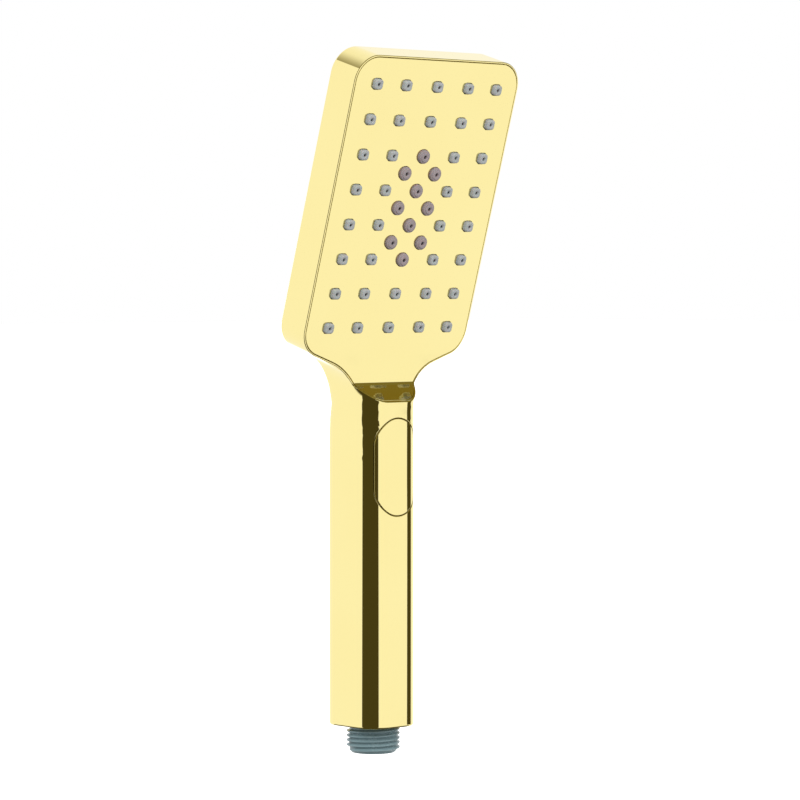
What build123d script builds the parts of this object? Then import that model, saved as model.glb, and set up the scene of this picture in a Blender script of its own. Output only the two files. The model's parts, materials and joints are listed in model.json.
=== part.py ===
from build123d import *
from math import cos, radians, sin, sqrt, tan
import os

# Handheld shower head: a square-section handle that carries a flat rectangular spray head,
# leaning forward over the user. The origin is on the axis of the hose thread, at the thread's
# lower end. +Z runs up the handle, the spray face looks towards -Y, and lengths are in mm.

# ---- driving dimensions: handle ----
handle_half_width = 13.2
handle_front = 14.3
handle_back = 16.3
handle_corner = 8.5
handle_bottom = 10.5
bottom_chamfer = 0.6
wall = 2.0

# ---- driving dimensions: head ----
head_tilt = 16.86
head_half_width = 42.75
head_thickness = 14.5
head_back_edge = 1.0
head_top = 107.2
top_corner = 10.5
lower_corner = 10.5
lower_corner_height = -1.2
shoulder_slope = 18.8
neck_radius = 20.4
face_origin_y = -8.74
face_origin_z = 166.2
spine_bend_radius = 60.0
neck_lead = 11.8
neck_level_rise = 12.0

# ---- driving dimensions: lower face and thumb ledge ----
bend_start = -2.2
bend_radius = 50.0
bend_turn = 22.3
fold_radius = 2.0
ledge_slope = 50.6

# ---- driving dimensions: face plate and nozzles ----
rim = 0.8
seam_gap = 0.1
plate_thickness = 1.8
nozzle_column_inner = 16.16
nozzle_side_margin = 11.61
nozzle_top_margin = 11.09
nozzle_rows = 8
rain_tip = 4.2
rain_tip_corner = 1.3
rain_orifice = 1.1
tip_draft = 2.0
nozzle_proud = 1.5
massage_tip = 5.4
massage_step = 4.2
massage_step_height = 0.35
massage_orifice = 1.3
massage_offset = 7.8
nozzle_clearance = 0.12

# ---- driving dimensions: button ----
button_width = 21.0
button_height = 38.2
button_centre = 112.1
button_gap = 0.25
button_travel = 2.5
stem_diameter = 6.0

# ---- driving dimensions: hose thread and inlet ----
thread_major = 20.955
thread_pitch = 1.814
thread_depth = 1.162
thread_first = 1.3
thread_turns = 4.6
thread_lead_in = 0.8
thread_start_angle = 180.0
inlet_wall = 2.3
inlet_body_wall = 3.0
inlet_upper_bore = 9.5
inlet_top = 38.0
inlet_shoulder = 22.0
end_cap_recess = 0.3
end_cap_thickness = 2.7
flange_thickness = 3.0

# ---- driving dimensions: screen, regulator and check valve in the inlet ----
insert_wall = 1.0
screen_low = 1.6
screen_height = 2.0
screen_sheet = 0.6
screen_hole = 0.8
screen_ring_pitch = 1.5
regulator_height = 4.6
regulator_web = 1.4
regulator_core = 2.6
regulator_seal = 1.8
regulator_slot = 0.75
regulator_slot_land = 0.35
regulator_ring_gap = 0.6
seat_height = 1.6
valve_seat = 3.8
guide_web = 1.6
guide_slot = 1.3
guide_slot_land = 0.15
poppet_stem = 1.4
poppet_radius = 5.0
poppet_head = 1.4
valve_seal_thickness = 0.5
valve_spring_radius = 2.2
valve_spring_wire = 0.5
valve_spring_turns = 4.0

# ---- driving dimensions: water path inside ----
tube_bore = 8.5
tube_wall = 2.25
tube_socket_depth = 9.0
tube_socket_wall = 1.5
seal_groove = 1.5
seal_set_back = 3.0
duct_bore = 4.4
duct_wall = 1.1
duct_groove = 0.8
duct_socket_wall = 1.1
duct_socket_depth = 6.2
duct_side_gap = 0.2
duct_back_gap = 0.6
duct_seal_set_back = 2.4

# ---- driving dimensions: diverter ----
housing_side_gap = 0.6
housing_back_gap = 2.7
housing_bottom = 82.0
housing_top = -30.0
housing_corner = 5.5
chamber_side_wall = 1.8
rotor_thickness = 2.6
rotor_steps = 6
rotor_hole_angles = (180.0, -60.0, -120.0, 60.0)
port_bore = 3.2
port_seal_outer = 5.2
port_seal_depth = 1.2
port_seal_proud = 0.25
port_rim = 0.2
tooth_height = 1.1
tooth_inner = 2.0
tooth_width = 1.4
tooth_gap = 0.27
cover_thickness = 3.0
cover_corner = 3.0
cover_seal = 1.1
cover_seal_land = 0.25
cover_screw_inset = 3.4
cover_screw_rise = 3.8
cover_screw_margin = 3.2
cover_screw_length = 8.0
guide_length = 2.4
guide_radius = 5.0
pusher_head = 1.1
stem_seal = 1.1
stem_seal_depth = 1.3
cap_boss_radius = 4.4
cap_boss_length = 2.6
cap_boss_lap = 0.3
cap_end_gap = 1.2
spring_wire = 0.8
spring_turns = 2.5
spring_side_gap = 0.6
spring_end_gap = 0.35

# ---- driving dimensions: mat, nozzle plate and manifold ----
mat_thickness = 1.25
window_margin = 1.0
window_corner = 3.0
nozzle_plate_thickness = 2.0
gasket_thickness = 0.6
manifold_side_gap = 3.15
manifold_top_gap = 3.2
manifold_low = -7.0
manifold_back_gap = 0.6
manifold_floor = 2.0
manifold_corner = 6.0
manifold_socket_length = 8.0
manifold_socket_stop = 2.4
chamber_wall = 1.5
corridor_margin = 0.5
pad_radius = 3.0
pad_inset = 12.6
pad_end = 22.0

# ---- driving dimensions: screws ----
screw_diameter = 2.5
screw_head = 4.6
screw_head_height = 1.5
screw_recess = 1.6
screw_cross = 2.76
screw_cross_width = 0.6
screw_inset = 2.9
screw_edge = 1.05
screw_end_gap = 0.4
screw_rows = (0.5, 3.5, 6.5)

# ---- clearances ----
slip = 0.1
running = 0.08
light_press = 0.02
touch = 0.05

os.makedirs("parts", exist_ok=True)

# ---- the head's own frame ----
tilt_sin = sin(radians(head_tilt))
tilt_cos = cos(radians(head_tilt))
face_normal = Vector(0, -tilt_cos, -tilt_sin)
face_up = Vector(0, -tilt_sin, tilt_cos)
face_origin = Vector(0, face_origin_y, face_origin_z)


def face_point(x, up, depth=0.0):
    """A point of the head: x across, up along the face, depth behind the face."""
    return face_origin + Vector(x, 0, 0) + face_up * up - face_normal * depth


def face_plane(depth):
    """The plane parallel to the spray face at this depth, looking outwards."""
    return Plane(origin=face_point(0, 0, depth), x_dir=(1, 0, 0), z_dir=face_normal)


def up_plane(x, up, depth):
    """The plane square to the head's length at a point of the head, looking up the head."""
    return Plane(origin=face_point(x, up, depth), x_dir=(1, 0, 0), z_dir=face_up)


def front_plane(y, z):
    """The plane square to the press direction, looking out of the handle's front."""
    return Plane(origin=(0, y, z), x_dir=(1, 0, 0), z_dir=(0, -1, 0))


# ---- the front profile, from the face down to the lip of the handle ----
def heading(turn):
    """Direction down the front in the YZ plane: 0 is straight down, + is forwards."""
    return Vector(0, -sin(radians(turn)), -cos(radians(turn)))


def outward(turn):
    """Outward normal of the front where the profile has this heading."""
    return Vector(0, -cos(radians(turn)), sin(radians(turn)))


bend_top = face_point(0, bend_start)
bend_centre = bend_top + outward(-head_tilt) * bend_radius
fold_heading = bend_turn - head_tilt
fold_top = bend_centre - outward(fold_heading) * bend_radius
fold_centre = fold_top + outward(fold_heading) * fold_radius
profile_reach = 40.0
cutter_half_width = head_half_width + profile_reach


def to_yz(point):
    """A point's place in a sketch on the YZ plane."""
    return (point.Y, point.Z)


def profile_arc(centre, radius, first, last):
    """Three points of a round stretch of the front profile between two headings."""
    middle = (first + last) / 2
    return [centre - outward(turn) * radius for turn in (first, middle, last)]


def front_cutter(depth):
    """Everything in front of the front profile moved inwards by depth."""
    bend = profile_arc(bend_centre, bend_radius + depth, -head_tilt, fold_heading)
    fold = profile_arc(fold_centre, fold_radius + depth, fold_heading, ledge_slope)
    top = face_point(0, head_top + profile_reach, depth)
    lip = fold[2] + heading(ledge_slope) * profile_reach
    with BuildPart() as cutter:
        with BuildSketch(Plane.YZ):
            with BuildLine():
                Line(to_yz(top), to_yz(bend[0]))
                ThreePointArc(*[to_yz(point) for point in bend])
                ThreePointArc(*[to_yz(point) for point in fold])
                Line(to_yz(fold[2]), to_yz(lip))
                Line(to_yz(lip), (top.Y - profile_reach, lip.Z))
                Line((top.Y - profile_reach, lip.Z), (top.Y - profile_reach, top.Z))
                Line((top.Y - profile_reach, top.Z), to_yz(top))
            make_face()
        extrude(amount=cutter_half_width, both=True)
    return cutter.part


# ---- the head's outline ----
corner_centre_x = head_half_width - lower_corner
slope_sin = sin(radians(shoulder_slope))
slope_cos = cos(radians(shoulder_slope))
shoulder_out = (corner_centre_x + lower_corner * slope_sin, lower_corner_height - lower_corner * slope_cos)
neck_centre_x = handle_half_width + neck_radius
shoulder_in_x = neck_centre_x - neck_radius * slope_sin
shoulder_in_up = shoulder_out[1] - (shoulder_out[0] - shoulder_in_x) * slope_sin / slope_cos
neck_centre_up = shoulder_in_up - neck_radius * slope_cos


def neck_half_width(up, inset):
    """Half width of the neck at a height along the face, on the concave arc moved inwards."""
    rise = max(up - neck_centre_up, 0.0)
    return neck_centre_x - sqrt((neck_radius + inset) ** 2 - rise ** 2)


def outline_side(inset):
    """Right side of the head's outline, moved inwards, as points and arc middles."""
    half = head_half_width - inset
    radius = lower_corner - inset
    middle = radians((90 - shoulder_slope) / 2)
    hollow = neck_radius + inset
    return {
        "top": (half - (top_corner - inset), head_top - inset),
        "top_mid": (corner_mid(half, top_corner - inset), head_top - inset - bow(top_corner - inset)),
        "side_top": (half, head_top - top_corner),
        "side_low": (half, lower_corner_height),
        "corner_mid": (corner_centre_x + radius * cos(middle), lower_corner_height - radius * sin(middle)),
        "shoulder_out": (corner_centre_x + radius * slope_sin, lower_corner_height - radius * slope_cos),
        "shoulder_in": (neck_centre_x - hollow * slope_sin, neck_centre_up + hollow * slope_cos),
    }


def bow(radius):
    """How far the middle of a quarter arc stands in from the square corner."""
    return radius * (1 - cos(radians(45)))


def corner_mid(half, radius):
    """x of the middle of a quarter arc whose straight side is at half."""
    return half - bow(radius)


def mirrored(point):
    """The same point on the left side."""
    return (-point[0], point[1])


def outline_sketch(plane, inset):
    """The closed outline of the head, moved inwards, on a plane parallel to the face."""
    side = outline_side(inset)
    with BuildSketch(plane) as outline:
        with BuildLine():
            for flip in (tuple, mirrored):
                p = {name: flip(point) for name, point in side.items()}
                ThreePointArc(p["top"], p["top_mid"], p["side_top"])
                Line(p["side_top"], p["side_low"])
                ThreePointArc(p["side_low"], p["corner_mid"], p["shoulder_out"])
                Line(p["shoulder_out"], p["shoulder_in"])
            Line(side["top"], mirrored(side["top"]))
            Line(side["shoulder_in"], mirrored(side["shoulder_in"]))
        make_face()
    return outline.sketch


# ---- the outer form of handle, neck and head ----
front_reach = 14.0
least_back_edge = head_back_edge / 4
spine_bend_low = face_point(0, 0, head_thickness)
back_meet_z = spine_bend_low.Z + (spine_bend_low.Y - handle_back) / tan(radians(head_tilt))
bend_tangent = spine_bend_radius * tan(radians(head_tilt / 2))
spine_bend_z = back_meet_z - bend_tangent
neck_stations_level = 8
neck_stations_fan = 8
neck_start = spine_bend_z - neck_lead
neck_level_top = spine_bend_z + neck_level_rise


def spine_back(z):
    """y of the back of the neck at a height, along the handle, the bend and the head."""
    rise = z - spine_bend_z
    if rise <= 0:
        return handle_back
    if rise <= spine_bend_radius * tilt_sin:
        return handle_back - spine_bend_radius + sqrt(spine_bend_radius**2 - rise**2)
    return spine_bend_low.Y - (z - spine_bend_low.Z) * tilt_sin / tilt_cos


def neck_section(z, tilt, corner_back, inset):
    """One rounded section of the neck, tilted, reaching forwards from the back at a height."""
    origin = Vector(0, spine_back(z), z)
    forwards = Vector(0, -cos(radians(tilt)), -sin(radians(tilt)))
    normal = Vector(0, -sin(radians(tilt)), cos(radians(tilt)))
    depth = (origin.Y + handle_front - inset) / cos(radians(tilt))
    up = (origin + forwards * (depth / 2) - face_origin).dot(face_up)
    with BuildSketch(Plane(origin=origin, x_dir=(1, 0, 0), z_dir=normal)) as section:
        with Locations((0, -(depth + inset) / 2)):
            Rectangle(2 * neck_half_width(up, inset), depth - inset)
        fillet(section.vertices().group_by(Axis.Y)[0], handle_corner - inset)
        fillet(section.vertices().group_by(Axis.Y)[-1], max(corner_back - inset, least_back_edge))
    return section.sketch


def neck_sections(inset):
    """The sections of the neck, from the top of the handle to the shoulders of the head."""
    sections = []
    for step in range(neck_stations_level):
        z = neck_start + (neck_level_top - neck_start) * step / neck_stations_level
        sections.append(neck_section(z, 0.0, handle_corner, inset))
    shoulder_z = face_point(0, outline_side(inset)["shoulder_in"][1], head_thickness).Z
    for step in range(neck_stations_fan + 1):
        share = step / neck_stations_fan
        z = neck_level_top + (shoulder_z - neck_level_top) * share
        corner_back = handle_corner + (head_back_edge - handle_corner) * share
        sections.append(neck_section(z, head_tilt * share, corner_back, inset))
    return sections


def straight_handle(inset, top):
    """The straight form of the handle moved inwards by inset, up to a height."""
    with BuildPart() as handle:
        with BuildSketch(Plane.XY.offset(handle_bottom)):
            add(handle_outline(inset))
        extrude(amount=top - handle_bottom)
    return handle.part


def envelope(inset):
    """The outer form of the whole moulding moved inwards by inset, not yet cut at the front."""
    with BuildPart() as neck:
        loft(neck_sections(inset))
    with BuildPart() as slab:
        extrude(
            outline_sketch(face_plane(head_thickness - inset), inset),
            amount=head_thickness - inset + front_reach,
        )
        back_edges = slab.faces().sort_by(Axis((0, 0, 0), (0, tilt_cos, tilt_sin)))[-1].edges()
        low_edge = back_edges.sort_by(Axis.Z)[0]
        side_edges = [edge for edge in back_edges if edge != low_edge]
        fillet(side_edges, max(head_back_edge - inset, least_back_edge))
    with BuildPart() as whole:
        add(straight_handle(inset, neck_start))
        add(neck.part)
        add(slab.part)
    return whole.part


def handle_outline(inset):
    """The rounded section of the handle, moved inwards, as a flat sketch."""
    with BuildSketch() as section:
        with Locations((0, (handle_back - handle_front) / 2)):
            Rectangle(2 * (handle_half_width - inset), handle_front + handle_back - 2 * inset)
        fillet(section.vertices(), handle_corner - inset)
    return section.sketch


# ---- body shell: handle and back of the head, one plated moulding ----
with BuildPart() as body_shell:
    add(envelope(0.0))
    lowest = body_shell.faces().sort_by(Axis.Z)[0]
    chamfer(lowest.edges(), bottom_chamfer)
    add(front_cutter(0.0), mode=Mode.SUBTRACT)
    add(envelope(wall), mode=Mode.SUBTRACT)
    with BuildPart(mode=Mode.PRIVATE) as seat:
        add(envelope(rim))
        add(front_cutter(plate_thickness), mode=Mode.INTERSECT)
    add(seat.part, mode=Mode.SUBTRACT)
    with BuildSketch(front_plane(0.0, button_centre)):
        SlotOverall(button_height, button_width, rotation=90)
    extrude(amount=handle_front + wall, mode=Mode.SUBTRACT)
body_shell.part.label = "body_shell"
export_step(body_shell.part, "parts/body_shell.step")


# ---- nozzle places on the face ----
nozzle_column_outer = head_half_width - nozzle_side_margin
nozzle_row_pitch = (head_top - nozzle_top_margin) / (nozzle_rows - 1)


def rain_places():
    """Centres of the rain nozzles: five columns of eight rows, without the middle of the centre one."""
    columns = (-nozzle_column_outer, -nozzle_column_inner, 0.0, nozzle_column_inner, nozzle_column_outer)
    places = []
    for row in range(nozzle_rows):
        for column in columns:
            if column != 0.0 or row in (0, 1, nozzle_rows - 2, nozzle_rows - 1):
                places.append((column, row * nozzle_row_pitch))
    return places


def massage_places():
    """Centres of the massage nozzles: a lattice of the centre column and staggered pairs."""
    places = []
    for row in range(2, nozzle_rows - 2):
        places.append((0.0, row * nozzle_row_pitch))
    for row in range(2, nozzle_rows - 3):
        for side in (-massage_offset, massage_offset):
            places.append((side, (row + 0.5) * nozzle_row_pitch))
    return places


massage_middle = (nozzle_rows - 1) / 2 * nozzle_row_pitch
window_width = 2 * (massage_offset + window_margin) + massage_tip
window_height = (nozzle_rows - 5) * nozzle_row_pitch + massage_tip + 2 * window_margin

# ---- depths behind the face, from the plate back to the wall of the shell ----
mat_depth = plate_thickness + touch
plate_depth = mat_depth + mat_thickness
gasket_depth = plate_depth + nozzle_plate_thickness
manifold_depth = gasket_depth + gasket_thickness
shell_depth = head_thickness - wall
manifold_back = shell_depth - manifold_back_gap

# ---- outline of the parts stacked behind the face ----
manifold_half_width = head_half_width - wall - manifold_side_gap
manifold_high = head_top - wall - manifold_top_gap
manifold_middle = (manifold_low + manifold_high) / 2
manifold_length = manifold_high - manifold_low
screw_line = manifold_half_width - screw_inset
mat_inset = screw_inset + screw_diameter / 2 + screw_edge
pad_line = manifold_half_width - pad_inset
pad_ups = (manifold_low + pad_end, manifold_high - pad_end)
pad_places = [(side, up) for side in (-pad_line, pad_line) for up in pad_ups]

# ---- face plate: the plated spray face, running down into the thumb ledge ----
with BuildPart() as face_plate:
    add(envelope(rim + seam_gap))
    add(front_cutter(0.0), mode=Mode.SUBTRACT)
    add(front_cutter(plate_thickness), mode=Mode.INTERSECT)
    with BuildSketch(face_plane(0.0)):
        with Locations(*rain_places()):
            RectangleRounded(
                rain_tip + 2 * nozzle_clearance,
                rain_tip + 2 * nozzle_clearance,
                rain_tip_corner + nozzle_clearance,
            )
        with Locations(*massage_places()):
            Circle(massage_tip / 2 + nozzle_clearance)
    extrude(amount=-plate_thickness, mode=Mode.SUBTRACT)
face_plate.part.label = "face_plate"
export_step(face_plate.part, "parts/face_plate.step")


def spray_sheet(depth, thickness, inset=0.0):
    """A flat sheet of the spray head's inner outline, at a depth behind the face."""
    with BuildPart() as sheet:
        with BuildSketch(face_plane(depth + thickness)):
            with Locations((0, manifold_middle)):
                RectangleRounded(
                    2 * (manifold_half_width - inset),
                    manifold_length - 2 * inset,
                    manifold_corner - inset,
                )
        extrude(amount=thickness)
    return sheet.part


# ---- rain nozzle mat: one silicone sheet with a soft tip through each square hole ----
with BuildPart() as rain_nozzle_mat:
    add(spray_sheet(mat_depth, mat_thickness, mat_inset))
    with BuildSketch(face_plane(mat_depth)):
        with Locations(*rain_places()):
            RectangleRounded(rain_tip, rain_tip, rain_tip_corner)
    extrude(amount=mat_depth + nozzle_proud, taper=tip_draft)
    with BuildSketch(face_plane(mat_depth + mat_thickness)):
        with Locations((0, massage_middle)):
            RectangleRounded(window_width, window_height, window_corner)
    extrude(amount=mat_thickness, mode=Mode.SUBTRACT)
    with BuildSketch(face_plane(mat_depth + mat_thickness)):
        with Locations(*rain_places()):
            Circle(rain_orifice)
    extrude(amount=mat_thickness + mat_depth, mode=Mode.SUBTRACT)
    with BuildSketch(face_plane(0.0)):
        with Locations(*rain_places()):
            Circle(rain_orifice / 2)
    extrude(amount=nozzle_proud, mode=Mode.SUBTRACT)
rain_nozzle_mat.part.label = "rain_nozzle_mat"
export_step(rain_nozzle_mat.part, "parts/rain_nozzle_mat.step")

# ---- massage nozzle insert: a stiffer piece with stepped round tips ----
with BuildPart() as massage_nozzle_insert:
    with BuildSketch(face_plane(mat_depth + mat_thickness)):
        with Locations((0, massage_middle)):
            RectangleRounded(window_width - 2 * slip, window_height - 2 * slip, window_corner - slip)
    extrude(amount=mat_thickness)
    with BuildSketch(face_plane(mat_depth)):
        with Locations(*massage_places()):
            Circle(massage_tip / 2)
    extrude(amount=mat_depth + nozzle_proud - massage_step_height)
    with BuildSketch(face_plane(massage_step_height - nozzle_proud)):
        with Locations(*massage_places()):
            Circle(massage_step / 2)
    extrude(amount=massage_step_height)
    with BuildSketch(face_plane(mat_depth + mat_thickness)):
        with Locations(*massage_places()):
            Circle(massage_orifice)
    extrude(amount=mat_thickness + mat_depth, mode=Mode.SUBTRACT)
    with BuildSketch(face_plane(0.0)):
        with Locations(*massage_places()):
            Circle(massage_orifice / 2)
    extrude(amount=nozzle_proud, mode=Mode.SUBTRACT)
massage_nozzle_insert.part.label = "massage_nozzle_insert"
export_step(massage_nozzle_insert.part, "parts/massage_nozzle_insert.step")


def screw_places():
    """Where the manifold screws stand, between the nozzle rows along both sides."""
    return [(side * screw_line, row * nozzle_row_pitch) for side in (-1, 1) for row in screw_rows]


# ---- nozzle plate: the rigid plate behind the mat, with a feed hole for each nozzle ----
with BuildPart() as nozzle_plate:
    add(spray_sheet(plate_depth, nozzle_plate_thickness))
    with BuildSketch(face_plane(plate_depth + nozzle_plate_thickness)):
        with Locations(*rain_places()):
            Circle(rain_orifice)
        with Locations(*massage_places()):
            Circle(massage_orifice)
        with Locations(*screw_places()):
            Circle(screw_diameter / 2)
    extrude(amount=nozzle_plate_thickness, mode=Mode.SUBTRACT)
nozzle_plate.part.label = "nozzle_plate"
export_step(nozzle_plate.part, "parts/nozzle_plate.step")

# ---- places of the two ducts, from the walls of the handle and the head inwards ----
duct_outer = duct_bore + 2 * duct_wall
socket_radius = duct_outer / 2 + slip
socket_boss_radius = socket_radius + duct_socket_wall
duct_spacing = handle_half_width - wall - duct_side_gap - socket_boss_radius
duct_depth = shell_depth - duct_back_gap - socket_boss_radius
duct_low = housing_top - duct_socket_depth + 2 * slip
duct_high = manifold_low - manifold_socket_stop
socket_low = manifold_low - manifold_socket_length
socket_lap = 2 * chamber_wall

# ---- water chambers: one round the edge for rain, one in the middle for massage ----
island_width = window_width + 2 * chamber_wall
island_height = window_height + 2 * chamber_wall
corridor_width = duct_bore + 2 * corridor_margin
column_diameter = screw_diameter + 2 * chamber_wall


def chamber_sketch(plane):
    """The walls between and round the two water chambers, as a flat sketch."""
    low = manifold_low + chamber_wall
    corridor_top = massage_middle - window_height / 2
    with BuildSketch(plane) as walls:
        with Locations((0, manifold_middle)):
            RectangleRounded(2 * manifold_half_width, manifold_length, manifold_corner)
            RectangleRounded(
                2 * (manifold_half_width - chamber_wall),
                manifold_length - 2 * chamber_wall,
                manifold_corner - chamber_wall,
                mode=Mode.SUBTRACT,
            )
        with Locations((0, massage_middle)):
            RectangleRounded(island_width, island_height, window_corner + chamber_wall)
        with Locations((duct_spacing, (low + corridor_top) / 2)):
            Rectangle(corridor_width + 2 * chamber_wall, corridor_top - low + chamber_wall)
            Rectangle(corridor_width, corridor_top - low + 2 * chamber_wall, mode=Mode.SUBTRACT)
        with Locations((0, massage_middle)):
            RectangleRounded(window_width, window_height, window_corner, mode=Mode.SUBTRACT)
        with Locations(*screw_places()):
            Circle(column_diameter / 2)
            Circle(screw_diameter / 2, mode=Mode.SUBTRACT)
    return walls.sketch


# ---- chamber gasket: a thin rubber print of the chamber walls ----
with BuildPart() as chamber_gasket:
    extrude(chamber_sketch(face_plane(gasket_depth + gasket_thickness)), amount=gasket_thickness)
chamber_gasket.part.label = "chamber_gasket"
export_step(chamber_gasket.part, "parts/chamber_gasket.step")

# ---- manifold body: the back half of the two chambers, with the sockets for the ducts ----
with BuildPart() as manifold_body:
    chamber_height = manifold_back - manifold_floor - manifold_depth
    extrude(chamber_sketch(face_plane(manifold_back - manifold_floor)), amount=chamber_height)
    add(spray_sheet(manifold_back - manifold_floor, manifold_floor))
    with BuildSketch(face_plane(shell_depth)):
        with Locations(*pad_places):
            Circle(pad_radius)
    extrude(amount=manifold_back_gap)
    for side in (-duct_spacing, duct_spacing):
        with BuildSketch(up_plane(side, socket_low, duct_depth)):
            Circle(socket_boss_radius)
        extrude(amount=manifold_low - socket_low + chamber_wall)
        with BuildSketch(up_plane(side, socket_low, duct_depth)):
            Circle(socket_radius)
        extrude(amount=duct_high - socket_low, mode=Mode.SUBTRACT)
        with BuildSketch(up_plane(side, duct_high, duct_depth)):
            Circle(duct_bore / 2)
        extrude(amount=manifold_low - duct_high + socket_lap, mode=Mode.SUBTRACT)
    with BuildSketch(face_plane(manifold_back)):
        with Locations(*screw_places()):
            Circle(screw_diameter / 2)
    extrude(amount=manifold_floor, mode=Mode.SUBTRACT)
    with BuildSketch(face_plane(manifold_back)):
        with Locations(*screw_places()):
            Circle(screw_head / 2 + slip)
    extrude(amount=screw_recess, mode=Mode.SUBTRACT)
    with BuildPart(mode=Mode.PRIVATE) as clear_front:
        with BuildSketch(face_plane(manifold_depth)):
            with Locations((0, manifold_low)):
                Rectangle(2 * manifold_half_width, 2 * socket_lap)
        extrude(amount=manifold_depth)
    add(clear_front.part, mode=Mode.SUBTRACT)
manifold_body.part.label = "manifold_body"
export_step(manifold_body.part, "parts/manifold_body.step")


def cross_head_screw(plane, length):
    """A self-tapping screw whose head starts on the plane and whose shank runs along its z axis."""
    with BuildPart() as screw:
        with BuildSketch(plane):
            Circle(screw_head / 2)
        extrude(amount=screw_head_height)
        with BuildSketch(plane.offset(screw_head_height)):
            Circle(screw_diameter / 2)
        extrude(amount=length)
        with BuildSketch(plane):
            Rectangle(screw_cross, screw_cross_width)
            Rectangle(screw_cross_width, screw_cross)
        extrude(amount=screw_head_height / 2, mode=Mode.SUBTRACT)
    return screw.part


# ---- manifold screws: they clamp manifold, gasket and nozzle plate together ----
with BuildPart() as manifold_screws:
    for x, up in screw_places():
        place = Plane(origin=face_point(x, up, manifold_back), x_dir=(1, 0, 0), z_dir=face_normal)
        add(cross_head_screw(place, manifold_back - screw_head_height - plate_depth - screw_end_gap))
manifold_screws.part.label = "manifold_screws"
export_step(manifold_screws.part, "parts/manifold_screws.step")

# ---- two ducts that carry water up the neck, each with a ring seal at both ends ----
groove_floor = duct_outer / 2 - duct_groove
duct_seal = socket_radius - groove_floor


def duct_seal_ups():
    """Heights along the face of the ring seals on a duct."""
    return (duct_low + duct_seal_set_back, duct_high - duct_seal_set_back)


def water_duct(side):
    """One duct, from the diverter housing to the manifold, at a place across the head."""
    with BuildPart() as duct:
        with BuildSketch(up_plane(side, duct_low, duct_depth)):
            Circle(duct_outer / 2)
            Circle(duct_bore / 2, mode=Mode.SUBTRACT)
        extrude(amount=duct_high - duct_low)
        for up in duct_seal_ups():
            with BuildSketch(up_plane(side, up - duct_seal / 2, duct_depth)):
                Circle(duct_outer / 2 + slip)
                Circle(groove_floor, mode=Mode.SUBTRACT)
            extrude(amount=duct_seal, mode=Mode.SUBTRACT)
    return duct.part


def ring_seal(plane, inner_radius, section):
    """A rubber ring seal centred on a plane."""
    with BuildPart() as ring:
        with BuildSketch(Plane(origin=plane.origin, x_dir=plane.x_dir, z_dir=plane.y_dir)):
            with Locations((inner_radius + section / 2, 0)):
                Circle(section / 2)
        revolve(axis=Axis(plane.origin, plane.z_dir))
    return ring.part


for duct_name, side in (("rain_duct", -duct_spacing), ("massage_duct", duct_spacing)):
    with BuildPart() as one_duct:
        add(water_duct(side))
    one_duct.part.label = duct_name
    export_step(one_duct.part, "parts/" + duct_name + ".step")

with BuildPart() as duct_seals:
    for side in (-duct_spacing, duct_spacing):
        for up in duct_seal_ups():
            add(ring_seal(up_plane(side, up, duct_depth), groove_floor, duct_seal))
duct_seals.part.label = "duct_seals"
export_step(duct_seals.part, "parts/duct_seals.step")

# ---- stations of the button and the diverter, from the front of the handle to the back ----
cap_inside = wall - handle_front
cap_boss_end = cap_inside + cap_boss_length
cover_front = cap_boss_end + button_travel + cap_end_gap
housing_front = cover_front + cover_thickness
guide_end = housing_front + guide_length
pusher_back = guide_end + slip + pusher_head
tooth_end = pusher_back + button_travel + tooth_gap
rotor_front = tooth_end + tooth_height
rotor_back = rotor_front + rotor_thickness
chamber_floor = rotor_back + running + port_seal_proud
housing_back = handle_back - wall - housing_back_gap
channel_y = (chamber_floor + housing_back) / 2

# ---- widths of the diverter, from the handle's walls inwards ----
housing_half_width = handle_half_width - wall - housing_side_gap
chamber_radius = housing_half_width - chamber_side_wall
port_radius = chamber_radius - port_seal_outer / 2 - port_rim
tooth_outer = port_radius - port_bore / 2 - port_rim
cover_seal_radius = chamber_radius + cover_seal_land
cover_half_width = housing_half_width - housing_side_gap
cover_screw_x = housing_half_width - cover_screw_inset
cover_screw_z = chamber_radius + cover_screw_rise
cover_half_height = cover_screw_z + cover_screw_margin
cover_screw_rows = (-cover_screw_z, cover_screw_z)
cover_screw_places = [(x, z) for x in (-cover_screw_x, cover_screw_x) for z in cover_screw_rows]
channel_radius = port_bore / 2 - slip

# ---- waterway tube stations ----
tube_outer = tube_bore + 2 * tube_wall
tube_socket_radius = tube_outer / 2 + slip
tube_boss_radius = tube_socket_radius + tube_socket_wall
tube_groove = tube_outer / 2 - seal_groove
tube_seal = tube_socket_radius - tube_groove
tube_low = inlet_top - tube_socket_depth + 2 * slip
tube_high = housing_bottom + tube_socket_depth - 4 * slip
tube_seal_heights = (tube_low + seal_set_back, tube_high - seal_set_back)


def housing_block(height):
    """The diverter housing's section at a height: flat in front, rounded behind."""
    with BuildSketch(Plane.XY.offset(height)) as block:
        with Locations((0, (housing_front + housing_back) / 2)):
            Rectangle(2 * housing_half_width, housing_back - housing_front)
        fillet(block.vertices().group_by(Axis.Y)[-1], housing_corner)
    return block.sketch


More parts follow.
